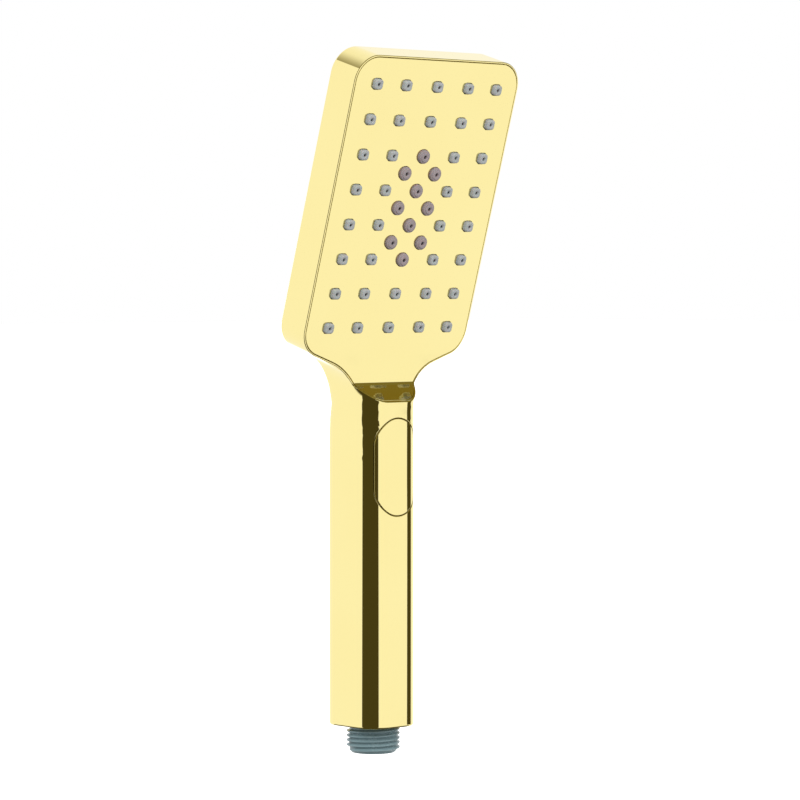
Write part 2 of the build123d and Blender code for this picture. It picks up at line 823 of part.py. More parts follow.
# ---- diverter housing: the valve block in the handle, behind the button ----
housing_reach = face_point(0, housing_top).Z - housing_bottom + handle_back
duct_foot = face_point(0, housing_top - 2 * duct_socket_depth, duct_depth)
with BuildPart() as diverter_housing:
    extrude(housing_block(housing_bottom), amount=housing_reach)
    with BuildSketch(Plane.XY.offset(housing_bottom)):
        Circle(tube_boss_radius)
    extrude(amount=tube_socket_depth + tube_socket_wall)
    with BuildSketch(up_plane(0, housing_top, duct_depth)):
        Rectangle(2 * housing_reach, 2 * housing_reach)
    extrude(amount=housing_reach, mode=Mode.SUBTRACT)
    with BuildSketch(Plane.XY.offset(housing_bottom)):
        Circle(tube_socket_radius)
    extrude(amount=tube_socket_depth, mode=Mode.SUBTRACT)
    with BuildSketch(Plane.XY.offset(housing_bottom)):
        Circle(tube_groove - seal_groove)
    extrude(amount=button_centre - housing_bottom, mode=Mode.SUBTRACT)
    with BuildSketch(front_plane(chamber_floor, button_centre)):
        Circle(chamber_radius)
    extrude(amount=chamber_floor - housing_front, mode=Mode.SUBTRACT)
    with BuildSketch(front_plane(housing_front + cover_seal, button_centre)):
        Circle(cover_seal_radius + cover_seal)
        Circle(cover_seal_radius, mode=Mode.SUBTRACT)
    extrude(amount=cover_seal, mode=Mode.SUBTRACT)
    for side in (-1, 1):
        with BuildSketch(front_plane(channel_y, button_centre)):
            with Locations((side * port_radius, 0)):
                Circle(port_bore / 2)
        extrude(amount=channel_y - chamber_floor, mode=Mode.SUBTRACT)
        with BuildSketch(front_plane(chamber_floor + port_seal_depth, button_centre)):
            with Locations((side * port_radius, 0)):
                Circle(port_seal_outer / 2)
        extrude(amount=port_seal_depth, mode=Mode.SUBTRACT)
        with BuildSketch(Plane.XY.offset(button_centre - port_bore / 2)):
            with Locations((side * port_radius, channel_y)):
                Circle(channel_radius)
        extrude(amount=duct_foot.Z - button_centre + port_bore / 2, mode=Mode.SUBTRACT)
        with BuildSketch(up_plane(side * duct_spacing, housing_top, duct_depth)):
            Circle(socket_radius)
        extrude(amount=-duct_socket_depth, mode=Mode.SUBTRACT)
        with BuildSketch(up_plane(side * duct_spacing, housing_top, duct_depth)):
            Circle(duct_bore / 2)
        extrude(amount=-(2 * duct_socket_depth + channel_radius), mode=Mode.SUBTRACT)
    with BuildSketch(front_plane(housing_front + cover_screw_length, button_centre)):
        with Locations(*cover_screw_places):
            Circle(screw_diameter / 2)
    extrude(amount=cover_screw_length, mode=Mode.SUBTRACT)
diverter_housing.part.label = "diverter_housing"
export_step(diverter_housing.part, "parts/diverter_housing.step")

# ---- port seals: rubber cups in the chamber floor that the rotor slides on ----
with BuildPart() as port_seals:
    for side in (-1, 1):
        with BuildSketch(front_plane(chamber_floor + port_seal_depth, button_centre)):
            with Locations((side * port_radius, 0)):
                Circle(port_seal_outer / 2)
                Circle(port_bore / 2, mode=Mode.SUBTRACT)
        extrude(amount=port_seal_depth + port_seal_proud)
port_seals.part.label = "port_seals"
export_step(port_seals.part, "parts/port_seals.step")

# ---- diverter rotor: a disc whose holes open the ports in turn as it steps round ----
with BuildPart() as diverter_rotor:
    with BuildSketch(front_plane(rotor_back, button_centre)):
        Circle(chamber_radius - running)
        for angle in rotor_hole_angles:
            with PolarLocations(port_radius, 1, start_angle=angle):
                Circle(port_bore / 2, mode=Mode.SUBTRACT)
    extrude(amount=rotor_thickness)
    with BuildSketch(front_plane(rotor_front, button_centre)):
        with PolarLocations(tooth_outer / 2, rotor_steps):
            Rectangle(tooth_outer, tooth_width)
        Circle(tooth_inner)
    extrude(amount=tooth_height)
diverter_rotor.part.label = "diverter_rotor"
export_step(diverter_rotor.part, "parts/diverter_rotor.step")

# ---- diverter cover: closes the chamber and guides the button's stem ----
stem_radius = stem_diameter / 2
with BuildPart() as diverter_cover:
    with BuildSketch(front_plane(housing_front, button_centre)):
        RectangleRounded(2 * cover_half_width, 2 * cover_half_height, cover_corner)
    extrude(amount=cover_thickness)
    with BuildSketch(front_plane(guide_end, button_centre)):
        Circle(guide_radius)
    extrude(amount=guide_length)
    with BuildSketch(front_plane(guide_end, button_centre)):
        Circle(stem_radius + running)
    extrude(amount=guide_end - cover_front, mode=Mode.SUBTRACT)
    with BuildSketch(front_plane(housing_front, button_centre)):
        with Locations(*cover_screw_places):
            Circle(screw_diameter / 2)
    extrude(amount=cover_thickness, mode=Mode.SUBTRACT)
    with BuildSketch(front_plane(cover_front + screw_recess, button_centre)):
        with Locations(*cover_screw_places):
            Circle(screw_head / 2 + slip)
    extrude(amount=screw_recess, mode=Mode.SUBTRACT)
diverter_cover.part.label = "diverter_cover"
export_step(diverter_cover.part, "parts/diverter_cover.step")

with BuildPart() as cover_seal_ring:
    seal_plane = front_plane(housing_front + cover_seal / 2, button_centre)
    add(ring_seal(seal_plane, cover_seal_radius, cover_seal))
cover_seal_ring.part.label = "cover_seal_ring"
export_step(cover_seal_ring.part, "parts/cover_seal_ring.step")

with BuildPart() as cover_screws:
    for x, z in cover_screw_places:
        head_centre = (x, cover_front + slip, button_centre + z)
        add(cross_head_screw(Plane(origin=head_centre, x_dir=(1, 0, 0), z_dir=(0, 1, 0)), cover_screw_length))
cover_screws.part.label = "cover_screws"
export_step(cover_screws.part, "parts/cover_screws.step")

# ---- button cap: the flush plated thumb button, with a boss for the stem ----
with BuildPart() as button_cap:
    with BuildSketch(front_plane(0.0, button_centre)):
        SlotOverall(button_height - 2 * button_gap, button_width - 2 * button_gap, rotation=90)
    extrude(amount=handle_front + wall)
    cap_reach = button_centre + button_height
    add(straight_handle(0.0, cap_reach), mode=Mode.INTERSECT)
    add(straight_handle(wall, cap_reach), mode=Mode.SUBTRACT)
    with BuildSketch(front_plane(cap_boss_end, button_centre)):
        Circle(cap_boss_radius)
    extrude(amount=cap_boss_length + cap_boss_lap)
    with BuildSketch(front_plane(cap_boss_end, button_centre)):
        Circle(stem_radius)
    extrude(amount=cap_boss_length, mode=Mode.SUBTRACT)
button_cap.part.label = "button_cap"
export_step(button_cap.part, "parts/button_cap.step")

# ---- button pusher: the stem under the cap, with drive teeth that step the rotor ----
stem_seal_y = cover_front + stem_seal_depth
stem_groove = stem_radius + running - stem_seal
with BuildPart() as button_pusher:
    with BuildSketch(front_plane(pusher_back, button_centre)):
        Circle(stem_radius)
    extrude(amount=pusher_back - cap_inside)
    with BuildSketch(front_plane(pusher_back, button_centre)):
        with PolarLocations(tooth_outer / 2, rotor_steps):
            Rectangle(tooth_outer, tooth_width)
    extrude(amount=pusher_head)
    with BuildSketch(front_plane(stem_seal_y + stem_seal / 2, button_centre)):
        Circle(stem_radius + slip)
        Circle(stem_groove, mode=Mode.SUBTRACT)
    extrude(amount=stem_seal, mode=Mode.SUBTRACT)
button_pusher.part.label = "button_pusher"
export_step(button_pusher.part, "parts/button_pusher.step")

with BuildPart() as stem_seal_ring:
    add(ring_seal(front_plane(stem_seal_y, button_centre), stem_groove, stem_seal - light_press))
stem_seal_ring.part.label = "stem_seal_ring"
export_step(stem_seal_ring.part, "parts/stem_seal_ring.step")


def coil_spring(origin, direction, length, radius, wire, turns):
    """A compression spring along a direction, whose ends lie inside its length."""
    pitch = (length - wire) / turns
    with BuildPart() as spring:
        with BuildLine() as path:
            Helix(
                pitch=pitch,
                height=length - wire,
                radius=radius,
                center=origin + direction * (wire / 2),
                direction=direction,
            )
        with BuildSketch(Plane(origin=path.line @ 0, z_dir=path.line % 0)):
            Circle(wire / 2)
        sweep(path=path.line, is_frenet=True)
    return spring.part


# ---- return spring under the button ----
with BuildPart() as button_spring:
    add(
        coil_spring(
            Vector(0, cap_inside + spring_end_gap, button_centre),
            Vector(0, 1, 0),
            cover_front - cap_inside - spring_end_gap - touch,
            cap_boss_radius + spring_side_gap + spring_wire / 2,
            spring_wire,
            spring_turns,
        )
    )
button_spring.part.label = "button_spring"
export_step(button_spring.part, "parts/button_spring.step")

# ---- waterway tube: from the inlet up the handle to the diverter ----
with BuildPart() as waterway_tube:
    with BuildSketch(Plane.XY.offset(tube_low)):
        Circle(tube_outer / 2)
        Circle(tube_bore / 2, mode=Mode.SUBTRACT)
    extrude(amount=tube_high - tube_low)
    for height in tube_seal_heights:
        with BuildSketch(Plane.XY.offset(height - tube_seal / 2)):
            Circle(tube_outer / 2 + slip)
            Circle(tube_groove, mode=Mode.SUBTRACT)
        extrude(amount=tube_seal, mode=Mode.SUBTRACT)
waterway_tube.part.label = "waterway_tube"
export_step(waterway_tube.part, "parts/waterway_tube.step")

with BuildPart() as tube_seals:
    for height in tube_seal_heights:
        add(ring_seal(Plane.XY.offset(height), tube_groove, tube_seal))
tube_seals.part.label = "tube_seals"
export_step(tube_seals.part, "parts/tube_seals.step")

# ---- stations of the inlet, from the thread upwards ----
thread_radius = thread_major / 2
root_radius = thread_radius - thread_depth
inlet_bore_radius = root_radius - inlet_wall
inlet_body_radius = inlet_bore_radius + inlet_body_wall
insert_radius = inlet_bore_radius - light_press
insert_inner = insert_radius - insert_wall
insert_lap = insert_inner + insert_wall / 2
end_cap_low = handle_bottom + end_cap_recess
end_cap_top = end_cap_low + end_cap_thickness
flange_top = end_cap_top + flange_thickness
regulator_low = screen_low + screen_height + 4 * slip
regulator_web_low = regulator_low + regulator_height - regulator_web
valve_low = regulator_low + regulator_height + 4 * slip
valve_top = inlet_shoulder - 2 * slip
valve_seal_low = valve_low + seat_height + touch
poppet_low = valve_seal_low + valve_seal_thickness

# ---- end cap: the plated plate that closes the bottom of the handle ----
with BuildPart() as end_cap:
    with BuildSketch(Plane.XY.offset(end_cap_low)):
        add(handle_outline(wall + slip))
        Circle(thread_radius + 2 * slip, mode=Mode.SUBTRACT)
    extrude(amount=end_cap_thickness)
end_cap.part.label = "end_cap"
export_step(end_cap.part, "parts/end_cap.step")


def hose_thread():
    """The helical ridge of the hose thread, with its crests turned to the major diameter."""
    base = -touch
    half_root = thread_pitch / 2 - touch
    crest = thread_depth + touch
    half_crest = thread_pitch / 10
    with BuildPart() as ridge:
        with BuildLine(Plane.XY.offset(thread_first)) as path:
            Helix(pitch=thread_pitch, height=thread_pitch * thread_turns, radius=root_radius)
        with BuildSketch(Plane(origin=(root_radius, 0, thread_first), x_dir=(1, 0, 0), z_dir=(0, 1, 0))):
            Polygon(
                (base, -half_root),
                (crest, -half_crest),
                (crest, half_crest),
                (base, half_root),
                align=None,
            )
        sweep(path=path.line, is_frenet=True)
        with BuildPart(mode=Mode.PRIVATE) as turned:
            with BuildSketch(Plane.XY):
                Circle(thread_radius)
            extrude(amount=end_cap_low)
            chamfer(turned.edges().sort_by(Axis.Z)[0], thread_depth)
        add(turned.part, mode=Mode.INTERSECT)
    return ridge.part


# ---- inlet connector: the moulded inlet with the hose thread ----
with BuildPart() as inlet_connector:
    with BuildSketch(Plane.XY):
        Circle(root_radius)
    extrude(amount=end_cap_top)
    chamfer(inlet_connector.edges().sort_by(Axis.Z)[0], thread_lead_in)
    with BuildSketch(Plane.XY.offset(end_cap_top)):
        add(handle_outline(wall + slip))
    extrude(amount=flange_thickness)
    with BuildSketch(Plane.XY.offset(flange_top)):
        Circle(inlet_body_radius)
    extrude(amount=inlet_top - flange_top)
    with BuildSketch(Plane.XY):
        Circle(inlet_bore_radius)
    extrude(amount=inlet_shoulder, mode=Mode.SUBTRACT)
    with BuildSketch(Plane.XY):
        Circle(inlet_upper_bore / 2)
    extrude(amount=inlet_top, mode=Mode.SUBTRACT)
    with BuildSketch(Plane.XY.offset(inlet_top - tube_socket_depth)):
        Circle(tube_socket_radius)
    extrude(amount=tube_socket_depth, mode=Mode.SUBTRACT)
    add(hose_thread(), rotation=(0, 0, thread_start_angle))
inlet_connector.part.label = "inlet_connector"
export_step(inlet_connector.part, "parts/inlet_connector.step")

# ---- inlet screen: a fine filter just inside the thread ----
screen_rings = int((insert_inner - screen_hole) / screen_ring_pitch)
with BuildPart() as inlet_screen:
    with BuildSketch(Plane.XY.offset(screen_low)):
        Circle(insert_radius)
        Circle(insert_inner, mode=Mode.SUBTRACT)
    extrude(amount=screen_height)
    with BuildSketch(Plane.XY.offset(screen_low + screen_height / 2)):
        Circle(insert_lap)
        Circle(screen_hole / 2, mode=Mode.SUBTRACT)
        for ring in range(1, screen_rings + 1):
            with PolarLocations(ring * screen_ring_pitch, 6 * ring):
                Circle(screen_hole / 2, mode=Mode.SUBTRACT)
    extrude(amount=screen_sheet)
inlet_screen.part.label = "inlet_screen"
export_step(inlet_screen.part, "parts/inlet_screen.step")

# ---- flow regulator: a ribbed core whose rubber ring swells to limit the flow ----
regulator_ring_radius = regulator_core + regulator_ring_gap
regulator_slot_radius = regulator_ring_radius + regulator_slot_land + regulator_slot
with BuildPart() as flow_regulator:
    with BuildSketch(Plane.XY.offset(regulator_low)):
        Circle(insert_radius)
        Circle(insert_inner, mode=Mode.SUBTRACT)
    extrude(amount=regulator_height)
    with BuildSketch(Plane.XY.offset(regulator_web_low)):
        Circle(insert_lap)
        with PolarLocations(regulator_slot_radius, 12):
            Circle(regulator_slot, mode=Mode.SUBTRACT)
    extrude(amount=regulator_web)
    with BuildSketch(Plane.XY.offset(regulator_low)):
        Circle(regulator_core)
    extrude(amount=regulator_web_low - regulator_low + regulator_web / 2)
flow_regulator.part.label = "flow_regulator"
export_step(flow_regulator.part, "parts/flow_regulator.step")

with BuildPart() as regulator_ring:
    ring_height = regulator_web_low - regulator_seal / 2
    add(ring_seal(Plane.XY.offset(ring_height), regulator_ring_radius, regulator_seal))
regulator_ring.part.label = "regulator_ring"
export_step(regulator_ring.part, "parts/regulator_ring.step")

# ---- check valve: it lets water up the handle and stops it running back ----
guide_slot_radius = valve_spring_radius + valve_spring_wire / 2 + guide_slot_land + guide_slot
with BuildPart() as check_valve_cage:
    with BuildSketch(Plane.XY.offset(valve_low)):
        Circle(insert_radius)
        Circle(valve_seat, mode=Mode.SUBTRACT)
    extrude(amount=seat_height)
    with BuildSketch(Plane.XY.offset(valve_low + seat_height)):
        Circle(insert_radius)
        Circle(insert_inner, mode=Mode.SUBTRACT)
    extrude(amount=valve_top - valve_low - seat_height)
    with BuildSketch(Plane.XY.offset(valve_top - guide_web)):
        Circle(insert_lap)
        with PolarLocations(guide_slot_radius, 6):
            Circle(guide_slot, mode=Mode.SUBTRACT)
        Circle(poppet_stem + running, mode=Mode.SUBTRACT)
    extrude(amount=guide_web)
check_valve_cage.part.label = "check_valve_cage"
export_step(check_valve_cage.part, "parts/check_valve_cage.step")

with BuildPart() as check_valve_poppet:
    with BuildSketch(Plane.XY.offset(poppet_low)):
        Circle(poppet_radius)
    extrude(amount=poppet_head)
    with BuildSketch(Plane.XY.offset(poppet_low + poppet_head)):
        Circle(poppet_stem)
    extrude(amount=valve_top - poppet_low - poppet_head)
check_valve_poppet.part.label = "check_valve_poppet"
export_step(check_valve_poppet.part, "parts/check_valve_poppet.step")

with BuildPart() as check_valve_seal:
    with BuildSketch(Plane.XY.offset(valve_seal_low)):
        Circle(poppet_radius)
        Circle(poppet_stem, mode=Mode.SUBTRACT)
    extrude(amount=valve_seal_thickness)
check_valve_seal.part.label = "check_valve_seal"
export_step(check_valve_seal.part, "parts/check_valve_seal.step")

with BuildPart() as check_valve_spring:
    spring_low = poppet_low + poppet_head + touch
    add(
        coil_spring(
            Vector(0, 0, spring_low),
            Vector(0, 0, 1),
            valve_top - guide_web - touch - spring_low,
            valve_spring_radius,
            valve_spring_wire,
            valve_spring_turns,
        )
    )
check_valve_spring.part.label = "check_valve_spring"
export_step(check_valve_spring.part, "parts/check_valve_spring.step")
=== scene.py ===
"""Looks for the handheld shower head: finishes, soft nozzles, hose thread and studio."""

import json
import logging
import math
from dataclasses import dataclass, field
from enum import Enum
from typing import Iterable, Sequence

import bmesh
import bpy
from mathutils import Matrix, Vector


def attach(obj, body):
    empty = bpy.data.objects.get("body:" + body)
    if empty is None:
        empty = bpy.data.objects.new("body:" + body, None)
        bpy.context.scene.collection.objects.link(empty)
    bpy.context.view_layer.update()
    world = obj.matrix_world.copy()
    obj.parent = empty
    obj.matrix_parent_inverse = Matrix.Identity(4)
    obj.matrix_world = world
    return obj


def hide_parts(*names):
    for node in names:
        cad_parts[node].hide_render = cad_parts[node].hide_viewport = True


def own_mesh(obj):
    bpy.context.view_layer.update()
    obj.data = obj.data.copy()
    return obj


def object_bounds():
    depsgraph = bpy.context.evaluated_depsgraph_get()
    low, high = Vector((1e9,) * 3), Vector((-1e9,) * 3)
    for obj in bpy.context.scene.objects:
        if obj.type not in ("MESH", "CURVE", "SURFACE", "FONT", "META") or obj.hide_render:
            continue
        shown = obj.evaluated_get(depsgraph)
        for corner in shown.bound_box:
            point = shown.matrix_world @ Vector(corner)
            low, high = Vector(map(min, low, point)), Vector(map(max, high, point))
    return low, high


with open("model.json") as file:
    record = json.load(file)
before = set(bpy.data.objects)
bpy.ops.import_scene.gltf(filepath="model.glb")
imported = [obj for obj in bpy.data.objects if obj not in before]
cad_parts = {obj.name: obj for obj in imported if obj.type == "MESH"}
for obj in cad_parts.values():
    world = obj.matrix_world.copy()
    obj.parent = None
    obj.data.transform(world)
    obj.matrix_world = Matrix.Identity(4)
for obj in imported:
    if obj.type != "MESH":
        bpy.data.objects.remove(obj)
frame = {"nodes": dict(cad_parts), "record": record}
CAD_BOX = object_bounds()
log = logging.getLogger("shower_head")
MM = 0.001
Colour = tuple[float, float, float]


class Drive(Enum):
    """Sockets of the Principled shader that a finish may drive with a pattern."""

    COLOUR = "Base Color"
    ROUGHNESS = "Roughness"
    NORMAL = "Normal"


def rgba(colour: Colour) -> tuple[float, float, float, float]:
    """The colour with full opacity."""
    return (*colour, 1.0)


# ---------------------------------------------------------------- shared effects


@dataclass
class NodeGraph:
    """A node tree with short ways to add nodes and join them."""

    tree: bpy.types.NodeTree

    def add(self, kind: str, **settings) -> bpy.types.Node:
        """Adds a node.

        Args:
            kind: The node's class name.
            settings: Properties of the node.

        Returns:
            The new node.
        """
        node = self.tree.nodes.new(kind)
        for name, value in settings.items():
            setattr(node, name, value)
        return node

    def join(self, source: bpy.types.NodeSocket, target: bpy.types.NodeSocket) -> None:
        """Links one socket to another."""
        self.tree.links.new(source, target)

    def feed(self, target: bpy.types.NodeSocket, value) -> None:
        """Links a socket to the target, or sets the target's own value."""
        if isinstance(value, bpy.types.NodeSocket):
            self.join(value, target)
        else:
            target.default_value = value

    def math(self, operation: str, *values) -> bpy.types.NodeSocket:
        """Does one arithmetic step.

        Args:
            operation: The name of the operation.
            values: Sockets or numbers, in order.

        Returns:
            The socket with the result.
        """
        node = self.add("ShaderNodeMath", operation=operation)
        for socket, value in zip(node.inputs, values):
            self.feed(socket, value)
        return node.outputs[0]

    def step(self, value, low: float, high: float) -> bpy.types.NodeSocket:
        """A smooth step that rises from 0 to 1 between low and high."""
        node = self.add("ShaderNodeMapRange", interpolation_type="SMOOTHSTEP")
        self.feed(node.inputs["Value"], value)
        node.inputs["From Min"].default_value = low
        node.inputs["From Max"].default_value = high
        return node.outputs["Result"]

    def blend(self, amount, first, second) -> bpy.types.NodeSocket:
        """Mixes two colours.

        Args:
            amount: 0 gives the first colour and 1 the second.
            first: Colour or socket.
            second: Colour or socket.

        Returns:
            The mixed colour's socket.
        """
        node = self.add("ShaderNodeMix", data_type="RGBA")
        self.feed(node.inputs[0], amount)
        self.feed(node.inputs[6], first)
        self.feed(node.inputs[7], second)
        return node.outputs[2]

    def noise(self, place, scale, detail: float, roughness: float) -> bpy.types.NodeSocket:
        """Fractal noise from 0 to 1 at a place in the object."""
        node = self.add("ShaderNodeTexNoise")
        self.join(place, node.inputs["Vector"])
        self.feed(node.inputs["Scale"], scale)
        node.inputs["Detail"].default_value = detail
        node.inputs["Roughness"].default_value = roughness
        return node.outputs["Fac"]


def new_group(
    name: str, inputs: dict[str, float], outputs: Sequence[str],
) -> tuple[NodeGraph, dict[str, bpy.types.NodeSocket], bpy.types.Node]:
    """Starts a shader node group.

    Args:
        name: The group's name.
        inputs: Names and default values of its number inputs.
        outputs: Names of its outputs; one called Normal is a vector.

    Returns:
        The group's graph, its input sockets by name, and its output node.
    """
    tree = bpy.data.node_groups.new(name, "ShaderNodeTree")
    for label, value in inputs.items():
        socket = tree.interface.new_socket(label, in_out="INPUT", socket_type="NodeSocketFloat")
        socket.default_value = value
    for label in outputs:
        kind = "NodeSocketVector" if label == "Normal" else "NodeSocketFloat"
        tree.interface.new_socket(label, in_out="OUTPUT", socket_type=kind)
    graph = NodeGraph(tree)
    entry = graph.add("NodeGroupInput")
    return graph, {label: entry.outputs[label] for label in inputs}, graph.add("NodeGroupOutput")


def make_handling_marks() -> bpy.types.NodeTree:
    """Smudges and fine wipe lines that a polished surface picks up in handling.

    Returns:
        A group with inputs Smudge size and Wipe size, and outputs Smudge and Wipe, each from 0 to 1.
    """
    sizes = {"Smudge size": 40.0, "Wipe size": 900.0}
    graph, inputs, out = new_group("handling_marks", sizes, ("Smudge", "Wipe"))
    place = graph.add("ShaderNodeTexCoord").outputs["Object"]
    smudge = graph.step(graph.noise(place, inputs["Smudge size"], 4.0, 0.62), 0.52, 0.74)
    stretch = graph.add("ShaderNodeMapping")
    graph.join(place, stretch.inputs["Vector"])
    stretch.inputs["Rotation"].default_value = (0.5, 0.3, 0.0)
    stretch.inputs["Scale"].default_value = (1.0, 1.0, 0.04)
    wipe = graph.step(graph.noise(stretch.outputs["Vector"], inputs["Wipe size"], 2.0, 0.5), 0.60, 0.72)
    graph.join(smudge, out.inputs["Smudge"])
    graph.join(wipe, out.inputs["Wipe"])
    return graph.tree


def make_moulding_grain() -> bpy.types.NodeTree:
    """Fine texture and slow shade changes of a moulded surface.

    Returns:
        A group with inputs Grain size and Depth, and outputs Shade, from 0 to 1, and Normal.
    """
    sizes = {"Grain size": 1500.0, "Depth": 0.1}
    graph, inputs, out = new_group("moulding_grain", sizes, ("Shade", "Normal"))
    place = graph.add("ShaderNodeTexCoord").outputs["Object"]
    fine = graph.noise(place, inputs["Grain size"], 3.0, 0.55)
    slow = graph.noise(place, 120.0, 3.0, 0.5)
    bump = graph.add("ShaderNodeBump")
    bump.inputs["Distance"].default_value = 0.02 * MM
    graph.join(inputs["Depth"], bump.inputs["Strength"])
    graph.join(fine, bump.inputs["Height"])
    shade = graph.math("ADD", graph.math("MULTIPLY", fine, 0.35), graph.math("MULTIPLY", slow, 0.65))
    graph.join(shade, out.inputs["Shade"])
    graph.join(bump.outputs["Normal"], out.inputs["Normal"])
    return graph.tree


def make_crevice_dust() -> bpy.types.NodeTree:
    """Lime and dust that settle where two walls meet.

    Returns:
        A group with the input Reach, in metres, and the output Dust, from 0 to 1.
    """
    graph, inputs, out = new_group("crevice_dust", {"Reach": 0.001}, ("Dust",))
    corner = graph.add("ShaderNodeAmbientOcclusion", samples=4, only_local=True)
    graph.join(inputs["Reach"], corner.inputs["Distance"])
    place = graph.add("ShaderNodeTexCoord").outputs["Object"]
    broken = graph.noise(place, 700.0, 3.0, 0.6)
    hidden = graph.step(graph.math("SUBTRACT", 1.0, corner.outputs["AO"]), 0.25, 0.85)
    graph.join(graph.math("MULTIPLY", hidden, broken), out.inputs["Dust"])
    return graph.tree


HANDLING_MARKS = make_handling_marks()
MOULDING_GRAIN = make_moulding_grain()
CREVICE_DUST = make_crevice_dust()


def start_material(name: str) -> tuple[bpy.types.Material, NodeGraph, bpy.types.Node]:
    """Makes a material with only its Principled shader and output.

    Args:
        name: The material's name.

    Returns:
        The material, its graph and its Principled shader.
    """
    material = bpy.data.materials.new(name)
    material.use_nodes = True
    graph = NodeGraph(material.node_tree)
    return material, graph, material.node_tree.nodes["Principled BSDF"]


def use_group(graph: NodeGraph, tree: bpy.types.NodeTree, **values: float) -> bpy.types.Node:
    """Places a shared effect in a material and sets its inputs, whose names have _ for a space."""
    node = graph.add("ShaderNodeGroup", node_tree=tree)
    for name, value in values.items():
        node.inputs[name.replace("_", " ")].default_value = value
    return node


# ---------------------------------------------------------------- finishes


@dataclass(frozen=True)
class GoldPlate:
    """Polished gold plating over a smooth moulding."""

    name: str
    base: Colour = (0.995, 0.878, 0.414)
    worn: Colour = (0.980, 0.842, 0.372)
    polish: float = 0.035
    smudged: float = 0.055
    ripple: float = 0.02

    def build(self) -> bpy.types.Material:
        """Builds the material."""
        material, graph, shader = start_material(self.name)
        marks = use_group(graph, HANDLING_MARKS, Smudge_size=38.0, Wipe_size=1400.0)
        place = graph.add("ShaderNodeTexCoord").outputs["Object"]
        tone = graph.noise(place, 22.0, 2.0, 0.5)
        graph.join(graph.blend(tone, rgba(self.base), rgba(self.worn)), shader.inputs[Drive.COLOUR.value])
        dull = graph.math("MULTIPLY", marks.outputs["Smudge"], self.smudged)
        lines = graph.math("MULTIPLY", marks.outputs["Wipe"], self.smudged / 3)
        rough = graph.math("ADD", graph.math("ADD", dull, lines), self.polish)
        graph.join(rough, shader.inputs[Drive.ROUGHNESS.value])
        bump = graph.add("ShaderNodeBump")
        bump.inputs["Strength"].default_value = self.ripple
        bump.inputs["Distance"].default_value = MM
        graph.join(graph.noise(place, 60.0, 1.0, 0.4), bump.inputs["Height"])
        graph.join(bump.outputs["Normal"], shader.inputs[Drive.NORMAL.value])
        shader.inputs["Metallic"].default_value = 1.0
        return material


@dataclass(frozen=True)
class Moulded:
    """Plastic, rubber or silicone with a moulded grain."""

    name: str
    light: Colour
    dark: Colour
    roughness: float
    grain: float = 1500.0
    depth: float = 0.15
    gloss: float = 0.5
    dust: Colour = (0.62, 0.64, 0.62)
    dusty: float = 0.25
    glow: float = 0.0

    def build(self) -> bpy.types.Material:
        """Builds the material."""
        material, graph, shader = start_material(self.name)
        grain = use_group(graph, MOULDING_GRAIN, Grain_size=self.grain, Depth=self.depth)
        dust = use_group(graph, CREVICE_DUST, Reach=MM)
        colour = graph.blend(grain.outputs["Shade"], rgba(self.dark), rgba(self.light))
        settled = graph.math("MULTIPLY", dust.outputs["Dust"], self.dusty)
        graph.join(graph.blend(settled, colour, rgba(self.dust)), shader.inputs[Drive.COLOUR.value])
        rough = graph.math("ADD", graph.math("MULTIPLY", grain.outputs["Shade"], 0.12), self.roughness - 0.06)
        graph.join(rough, shader.inputs[Drive.ROUGHNESS.value])
        graph.join(grain.outputs["Normal"], shader.inputs[Drive.NORMAL.value])
        shader.inputs["Specular IOR Level"].default_value = self.gloss
        shader.inputs["Subsurface Weight"].default_value = self.glow
        shader.inputs["Subsurface Scale"].default_value = MM
        return material


@dataclass(frozen=True)
class BrightSteel:
    """Drawn or punched stainless steel with fine drawing lines."""

    name: str
    base: Colour = (0.60, 0.60, 0.58)
    shade: Colour = (0.42, 0.42, 0.41)
    roughness: float = 0.24

    def build(self) -> bpy.types.Material:
        """Builds the material."""
        material, graph, shader = start_material(self.name)
        marks = use_group(graph, HANDLING_MARKS, Smudge_size=220.0, Wipe_size=3000.0)
        graph.join(
            graph.blend(marks.outputs["Wipe"], rgba(self.base), rgba(self.shade)),
            shader.inputs[Drive.COLOUR.value],
        )
        rough = graph.math("ADD", graph.math("MULTIPLY", marks.outputs["Smudge"], 0.15), self.roughness)
        graph.join(rough, shader.inputs[Drive.ROUGHNESS.value])
        shader.inputs["Metallic"].default_value = 1.0
        return material


